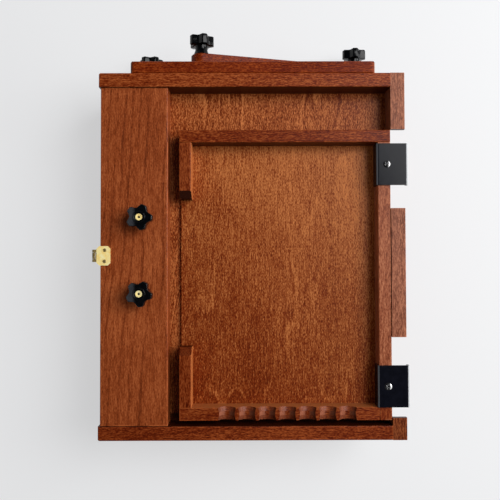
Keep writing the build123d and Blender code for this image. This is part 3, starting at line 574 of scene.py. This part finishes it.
# Node, the way its fibres run, its stain, the seed of its grain, and what sets it apart.
# Where a look sets it, painted shade darkens the faces of rails and stubs turned from the light.
BOARDS = [
    ("lid_plank", X, PLANK_TONE, 3.1, PLANK_LOOK),
    ("lid_left_rail", Y, RAIL_TONE, 8.4, {**RAIL_LOOK, "gloss": 0.10, "drift": -0.25, "inner": 0.75}),
    ("lid_right_rail", Y, FOOT_RAIL_TONE, 12.7, {**RAIL_LOOK, "gloss": 0.12, "inner": -0.85}),
    ("lid_back_lip_left", X, LIP_TONE, 1.9, {"fibre": 1.1}),
    ("lid_back_lip_middle", X, LIP_TONE, 5.2, {"fibre": 1.1}),
    ("lid_back_lip_right", X, CORNER_TONE, 9.6, {"fibre": 1.2, "rings": 0.8}),
    ("lid_front_wall", X, BASE_TONE, 14.2, {}),
    ("lid_back_wall", X, BASE_TONE, 15.8, {}),
    ("base_front_wall", X, BASE_TONE, 22.3, {}),
    ("base_back_wall", X, BASE_TONE, 27.9, {}),
    ("base_left_side", Y, BASE_TONE, 31.4, {}),
    ("base_right_side", Y, BASE_TONE, 36.6, {}),
    ("tripod_block", X, BASE_TONE, 41.1, {}),
    ("palette_runners", Y, BASE_TONE, 43.5, {}),
    ("canvas_ledge", X, RAIL_TONE, 44.8, {}),
    ("mast_guides", Y, RAIL_TONE, 46.3, {}),
    ("mast_left", Y, RAIL_TONE, 48.2, {}),
    ("mast_right", Y, RAIL_TONE, 51.7, {}),
    ("mast_clip_left", X, RAIL_TONE, 53.9, {}),
    ("mast_clip_right", X, RAIL_TONE, 56.2, {}),
    ("stay_rail", Y, STAY_TONE, 58.8, {"rings": 0.2, "gloss": 0.08, "ends": 2.6}),
    ("stay_track", Y, STAY_TONE, 61.3, {**STAY_LOOK, "painted_light": TRACK_PAINTED_LIGHT}),
    ("stay_arm", Y, STAY_TONE, 66.9, {**STAY_LOOK, "ends": 2.6}),
    ("tray_left_rail", Y, TRAY_RAIL_TONE, 71.2, {**RAIL_LOOK, "fibre": 1.2, "gloss": 0.10, "inner": 0.6}),
    ("tray_brush_rail", Y, TRAY_RAIL_TONE, 76.4, {"hollows": HOLLOW_PAINTED_LIGHT}),
    ("tray_back_rail", X, TRAY_BACK_TONE, 79.8, {"corner": TRAY_CORNER, "ends": 1.8}),
    ("tray_front_stub_left", X, STUB_TONE, 83.3, STUB_LOOK),
    ("tray_front_stub_right", X, STUB_TONE, 88.5, {"gloss": 0.05, "drift": -1.0, "painted_light": STUB_PAINTED_LIGHT}),
]
SHEETS = [
    ("lid_panel", X, PANEL_TONE, 4.4, {"fleck": 1.1, "painted_shade_reach": 11 * MM}),
    # The tray floor's drift and lean are painted light: darker towards +X and lighter towards +Y, as its
    # light falls off.
    ("tray_floor", X, TRAY_TONE, 10.8, {"drift": -1.2, "lean": 0.9, "veins": 0.65}),
    ("base_floor", Y, PANEL_TONE, 17.5, {}),
    ("palette", X, PANEL_TONE, 24.6, {"layers": 7}),
    ("long_divider", X, PANEL_TONE, 29.2, {}),
    ("cross_dividers", Y, PANEL_TONE, 33.7, {}),
]


def dress_wood():
    for make, pieces in ((board, BOARDS), (plywood, SHEETS)):
        for name, axis, tone, seed, look in pieces:
            dress([name], make(name, axis, tone, seed, **look))


# ---- metal and plastic ----------------------------------------------------
ENAMEL_SKIN = Marks(900.0, 2.0, 0.5)
DUST = Marks(160.0, 4.0, 0.7)
MOULD_GRAIN = Marks(1600.0, 2.0, 0.5)
SCUFFS = Marks(210.0, 4.0, 0.75)
BRASS_RUBS = Marks(700.0, 3.0, 0.6)
BRASS_RUB_STRETCH = 3.0
TARNISH = Marks(160.0, 4.0, 0.7)
SCREW_WEAR = Marks(900.0, 3.0, 0.6)

BEND_STARTS = (0.2, 0.5)
BEND_ENDS = (0.86, 0.985)
BEND_COVER = 0.85
BEND_SIDE = (-0.1, 0.1)
KNOB_TOP = (0.6, 0.95)
LIT_SIDE_TURN = (0.26, 0.44)
PAINTED_REFLECTION_REACH = 4.5 * MM

ENAMEL_SHEEN = 0.12
DUST_SHEEN = 0.10
SCUFF_SHEEN = 0.12
BRASS_SHEEN = 0.24
RUB_SHEEN = 0.2
ENAMEL_RELIEF = 0.04 * MM
PLASTIC_RELIEF = 0.03 * MM
BRASS_RELIEF = 0.03 * MM
SCREW_RELIEF = 0.02 * MM

# A small hole in a bolt's end, painted dark inside as its shade: its middle along two axes, and its
# radius.
Bore = namedtuple("Bore", "first second radius")
BORE_RADIUS = 1.3 * MM
BORE_EDGE = (0.8, 1.05)


def black_enamel():
    """Baked black enamel on folded steel, with a fine orange-peel skin and painted highlights on the
    bends, brightest on the bends towards +Y.
    """
    finish = Finish("black_enamel", gloss=0.10)
    dust = finish.speckle(DUST)
    outward = finish.outward()
    # Painted highlights along the bends, paler on the side towards +Y.
    bend = outward[Z].above(*BEND_STARTS) * (1.0 - outward[Z].above(*BEND_ENDS))
    bend_highlight = finish.mix(outward[Y].above(*BEND_SIDE), BEND_HIGHLIGHT_FRONT, BEND_HIGHLIGHT_BACK)
    finish.set("Base Color", finish.mix(bend * BEND_COVER, finish.ramp(dust, ENAMEL), bend_highlight))
    finish.set("Roughness", ENAMEL_SHEEN + dust * DUST_SHEEN)
    return finish.bump(finish.speckle(ENAMEL_SKIN), ENAMEL_RELIEF)


def black_plastic(name, sheen, reflection_from=None):
    """Moulded black thermoplastic; in front of a given line, its tops carry a painted reflection in grey.
    """
    finish = Finish(name, gloss=0.18)
    scuffs = finish.speckle(SCUFFS)
    colours = finish.ramp(scuffs, PLASTIC)
    if reflection_from is not None:
        # Painted reflection: the tops in front of the line are lighter grey, as they mirror the light from
        # the front.
        front = (reflection_from - finish.place()[Y]).above(0.0, PAINTED_REFLECTION_REACH)
        rubbed = front * finish.outward()[Z].above(*KNOB_TOP)
        colours = finish.mix(rubbed, colours, finish.ramp(scuffs, PAINTED_REFLECTION_GREYS))
    finish.set("Base Color", colours)
    finish.set("Roughness", sheen + scuffs * SCUFF_SHEEN)
    return finish.bump(finish.speckle(MOULD_GRAIN), PLASTIC_RELIEF)


def lacquered_brass(name, knuckle=None, bores=()):
    """Pale yellow brass under clear lacquer; it is darker further forward than knuckle."""
    finish = Finish(name, metallic=0.04, coat=0.6, coat_roughness=0.08)
    place = finish.place()
    stretched = finish.point(place[X] * BRASS_RUB_STRETCH, place[Y], place[Z])
    rubbed = finish.noise(stretched, *BRASS_RUBS)
    tarnish = finish.speckle(TARNISH)
    colours = finish.ramp(tarnish, BRASS)
    if knuckle is not None:
        front = (0.0 - place[Y]).above(knuckle, knuckle + JOIN)
        colours = finish.mix(front, colours, finish.ramp(tarnish, DARKER_BRASS))
    # Painted shade down each bore in a bolt's end.
    for bore in bores:
        across, along = (place[axis] - middle for axis, middle in (bore.first, bore.second))
        off = (across ** 2.0 + along ** 2.0).root()
        inside = 1.0 - off.above(*(bore.radius * part for part in BORE_EDGE))
        colours = finish.mix(inside, colours, BORE_SHADE)
    finish.set("Base Color", colours)
    finish.set("Roughness", BRASS_SHEEN + rubbed * RUB_SHEEN)
    return finish.bump(rubbed, BRASS_RELIEF)


def screw_metal(name, stops, sheen, lit_side=None):
    """A driven screw's head, with some wear, and a painted highlight on its side towards +Y."""
    finish = Finish(name, metallic=0.3, gloss=0.4)
    wear = finish.speckle(SCREW_WEAR)
    colours = finish.ramp(wear, stops)
    # Painted highlight on the side towards +Y.
    if lit_side:
        colours = finish.mix(finish.outward()[Y].above(*LIT_SIDE_TURN), colours, lit_side)
    finish.set("Base Color", colours)
    finish.set("Roughness", sheen + (wear - 0.5) * RUB_SHEEN)
    return finish.bump(wear, SCREW_RELIEF)


def stand_in(node, name, form, sharp, finish):
    """Makes a piece of a finished form, smooth up to an angle, and lets it stand for a node."""
    for face in form.faces:
        face.smooth = True
    mesh = bpy.data.meshes.new(name)
    form.to_mesh(mesh)
    form.free()
    mesh.set_sharp_from_angle(angle=radians(sharp))
    mesh.materials.append(finish.material)
    piece = bpy.data.objects.new(name, mesh)
    bpy.context.scene.collection.objects.link(piece)
    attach(piece, carriers[node])
    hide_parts(node)


# Screws driven straight down: their places, the turn of each cross, the head's radius, its
# underside's height and its rise, the shank's radius and the height of its foot.
Screws = namedtuple("Screws", "spots turns head_r seat rise shank_r foot")
HOOK_SCREWS = Screws(
    spots=((-0.0957, 0.1416), (0.1371, 0.1416)), turns=(0.5, 0.9),
    head_r=3.8 * MM, seat=0.1010, rise=1.45 * MM, shank_r=1.8 * MM, foot=0.0860,
)
CATCH_SCREWS = Screws(
    spots=((-0.0059, -0.1550), (0.0058, -0.1553)), turns=(0.3, 1.0),
    head_r=1.9 * MM, seat=0.0982, rise=0.65 * MM, shank_r=1.0 * MM, foot=0.0890,
)
HEAD_BRIM = 0.15 * MM
HEAD_CURVE = 2.6
HEAD_RINGS = 18
HEAD_STEPS = 56
SCREW_MERGE = 1e-7
SCREW_SHARP = 40

# The cross in a head: its arms' half width and length and its depth, as parts of the
# head's, the parts of its arms over which it slopes in, and the lowest point it is cut from.
CROSS_ARM = 0.17
CROSS_REACH = 0.58
CROSS_DEPTH = 1.05
CROSS_SIDE_SLOPE = 0.35
CROSS_END_SLOPE = 0.25
CROSS_FROM = 0.1 * MM


def cross_screws(node, screws, finish):
    """Round-headed screws with a cross recess, in place of a node's plain ones."""
    form = bmesh.new()
    arm = screws.head_r * CROSS_ARM
    reach = screws.head_r * CROSS_REACH
    drop = screws.foot - screws.seat
    parts = [ring / HEAD_RINGS for ring in range(HEAD_RINGS + 1)]
    side = [(screws.head_r * part, (1 - part ** HEAD_CURVE) * screws.rise + HEAD_BRIM) for part in parts]
    side += [(screws.head_r, 0.0), (screws.shank_r, 0.0), (screws.shank_r, drop), (0.0, drop)]
    for (x, y), turn in zip(screws.spots, screws.turns):
        made = [form.verts.new((out, 0.0, level)) for out, level in side]
        edges = [form.edges.new(pair) for pair in zip(made, made[1:])]
        bmesh.ops.spin(form, geom=made + edges, axis=(0, 0, 1), cent=(0, 0, 0), angle=2 * pi,
                       steps=HEAD_STEPS, use_merge=True, use_duplicate=False)
        for vert in [vert for vert in form.verts if not vert.tag]:
            vert.tag = True
            flat = Matrix.Rotation(-turn, 3, "Z") @ vert.co
            across, along = sorted((abs(flat.x), abs(flat.y)))
            if vert.co.z > CROSS_FROM and across < arm and along < reach:
                sides = (arm - across) / (arm * CROSS_SIDE_SLOPE)
                ends = (reach - along) / (reach * CROSS_END_SLOPE)
                vert.co.z -= min(1.0, sides, ends) * screws.rise * CROSS_DEPTH
            vert.co += Vector((x, y, screws.seat))
    bmesh.ops.remove_doubles(form, verts=form.verts, dist=SCREW_MERGE)
    bmesh.ops.recalc_face_normals(form, faces=form.faces)
    stand_in(node, f"{node}_driven", form, SCREW_SHARP, finish)


KNOB_EASE = 0.4 * MM
KNOB_MERGE = 2e-6
KNOB_FLAT = radians(1.0)
KNOB_EDGE = radians(28)
KNOB_SHARP = 50


def eased(node, finish):
    """A knob's own form with its sharp edges rounded over."""
    form = bmesh.new()
    form.from_mesh(nodes[node].data)
    form.transform(nodes[node].matrix_world)
    bmesh.ops.remove_doubles(form, verts=form.verts, dist=KNOB_MERGE)
    bmesh.ops.dissolve_limit(form, angle_limit=KNOB_FLAT, verts=form.verts, edges=form.edges)
    closed = [edge for edge in form.edges if len(edge.link_faces) == 2]
    sharp = [edge for edge in closed if edge.calc_face_angle(0.0) > KNOB_EDGE]
    bmesh.ops.bevel(form, geom=sharp, offset=KNOB_EASE, offset_type="OFFSET", segments=2, profile=0.5,
                    affect="EDGES", clamp_overlap=True, material=-1)
    stand_in(node, f"{node}_eased", form, KNOB_SHARP, finish)


MAST_KNOB_X = 0.0393
MAST_KNOB_Y = -0.116
STAY_BOLTS_Y = (0.120, -0.117)
STAY_BOLTS_Z = 0.029
# The plank's knobs carry a painted reflection on their tops in front of this line.
PAINTED_REFLECTION_Y = -0.1190
# How far forward the darker brass starts: at the plate's knuckle, or over a whole piece.
PLATE_KNUCKLE = 0.1635
ALL_DARKER = 0.001


def dress_metal_and_plastic():
    hooks = ["tray_hook_left", "tray_hook_right", "tray_hook_screws"]
    hinges = ["hinge_base_leaves", "hinge_lid_leaves", "hinge_pins"]
    hinge_screws = ["hinge_base_screws", "hinge_lid_screws"]
    dress(hooks + hinges + hinge_screws, black_enamel())
    black_screw = screw_metal("screw_black", BLACK_SCREW, sheen=0.22, lit_side=SCREW_HIGHLIGHT)
    cross_screws("tray_hook_screws", HOOK_SCREWS, black_screw)

    dress(["catch_plate"], lacquered_brass("catch_brass", PLATE_KNUCKLE))
    darker_brass = lacquered_brass("darker_brass", ALL_DARKER)
    dress(["catch_pin", "catch_leaf", "catch_stud", "catch_screws"], darker_brass)
    brass_screw = screw_metal("screw_darker_brass", BRASS_SCREW, sheen=0.4)
    cross_screws("catch_screws", CATCH_SCREWS, brass_screw)

    bushes = ["mast_knob_bush_left", "mast_knob_bush_right", "pivot_knob_bush", "rail_knob_bush"]
    dress(bushes + ["tripod_insert", "stay_knob_stud"], lacquered_brass("lacquered_brass"))
    mast_bores = [Bore((X, side * MAST_KNOB_X), (Y, MAST_KNOB_Y), BORE_RADIUS) for side in (-1, 1)]
    dress(["mast_bolts"], lacquered_brass("mast_bolt_brass", bores=mast_bores))
    stay_bores = [Bore((Y, place), (Z, STAY_BOLTS_Z), BORE_RADIUS) for place in STAY_BOLTS_Y]
    dress(["stay_bolts"], lacquered_brass("stay_bolt_brass", bores=stay_bores))

    plastic = black_plastic("black_plastic", sheen=0.06)
    painted_reflection_plastic = black_plastic("painted_reflection_plastic", sheen=0.14, reflection_from=PAINTED_REFLECTION_Y)
    for knob in ("mast_knob_left", "mast_knob_right", "stay_knob", "pivot_knob", "rail_knob"):
        moulding = painted_reflection_plastic if knob.startswith("mast") else plastic
        dress([knob], moulding)
        eased(knob, moulding)


# ---- stage ----------------------------------------------------------------
MOTTLE = Marks(3.0, 2.0, 0.5)


def make_floor():
    """A broad pale sheet under the box; seen straight on, its shadow is soft and light."""
    mesh = bpy.data.meshes.new("floor")
    form = bmesh.new()
    bmesh.ops.create_grid(form, x_segments=1, y_segments=1, size=FLOOR_HALF)
    form.to_mesh(mesh)
    form.free()
    floor = bpy.data.objects.new("floor", mesh)
    bpy.context.scene.collection.objects.link(floor)
    finish = Finish("floor_paper", roughness=0.9)
    paper = finish.ramp(finish.speckle(MOTTLE), PAPER)
    seen = finish.seen()
    finish.set("Base Color", finish.mix(seen, paper, shade(SEEN_PAPER, FLOOR_KEEP)))
    finish.set("Emission Color", finish.mix(seen, NO_GLOW, SEEN_GLOW))
    finish.set("Emission Strength", FLOOR_LIFT)
    mesh.materials.append(finish.material)


def make_light():
    """A pale room seen past the floor, a soft fill from it, a key lamp and a low window."""
    world = bpy.data.worlds.new("studio")
    bpy.context.scene.world = world
    world.use_nodes = True
    room = Wiring(world.node_tree)
    direction = room.split(room.node("ShaderNodeTexCoord", output="Generated"))
    height = direction[Z].slope(*LIGHT_HEIGHTS, HORIZON_LIGHT, ZENITH_LIGHT)
    front = direction[Y].slope(*FRONT_REACH, FRONT_LIGHT, 1.0)
    shown = direction[Z].slope(*BACKDROP_HEIGHTS, BACKDROP, ZENITH_LIGHT)
    strength = room.node("ShaderNodeMix", None, {0: room.seen(), 2: height * front, 3: shown})
    back = room.tree.nodes["Background"]
    room.feed(back.inputs["Strength"], strength)
    room.feed(back.inputs["Color"], WHITE)
    for name, spot, size, watts in (
        ("key", KEY_PLACE, KEY_SIZE, KEY_WATTS),
        ("window", WINDOW_PLACE, WINDOW_SIZE, WINDOW_WATTS),
    ):
        lamp = bpy.data.lights.new(name, "AREA")
        lamp.shape = "RECTANGLE"
        lamp.size, lamp.size_y = size
        lamp.energy = watts
        light = bpy.data.objects.new(name, lamp)
        light.location = spot
        aim = Vector((0.0, 0.0, LID_TOP)) - light.location
        light.rotation_euler = aim.to_track_quat("-Z", "Y").to_euler()
        bpy.context.scene.collection.objects.link(light)


def make_camera():
    """Nearly straight above, with the picture's right along the box's Y."""
    data = bpy.data.cameras.new("camera")
    camera = bpy.data.objects.new("camera", data)
    data.sensor_width = SENSOR
    data.lens = SENSOR * FOCUS_PIXELS / FRAME_PIXELS
    right = Vector(PICTURE_RIGHT).normalized()
    back = Vector(PICTURE_BACK).normalized()
    up = back.cross(right)
    turn = Matrix((right, up, back)).transposed().to_4x4()
    camera.matrix_world = Matrix.Translation(CAMERA_PLACE) @ turn
    bpy.context.scene.collection.objects.link(camera)
    bpy.context.scene.camera = camera


make_camera()
dress_wood()
dress_metal_and_plastic()
make_floor()
make_light()
bpy.context.scene.view_settings.view_transform = "Standard"
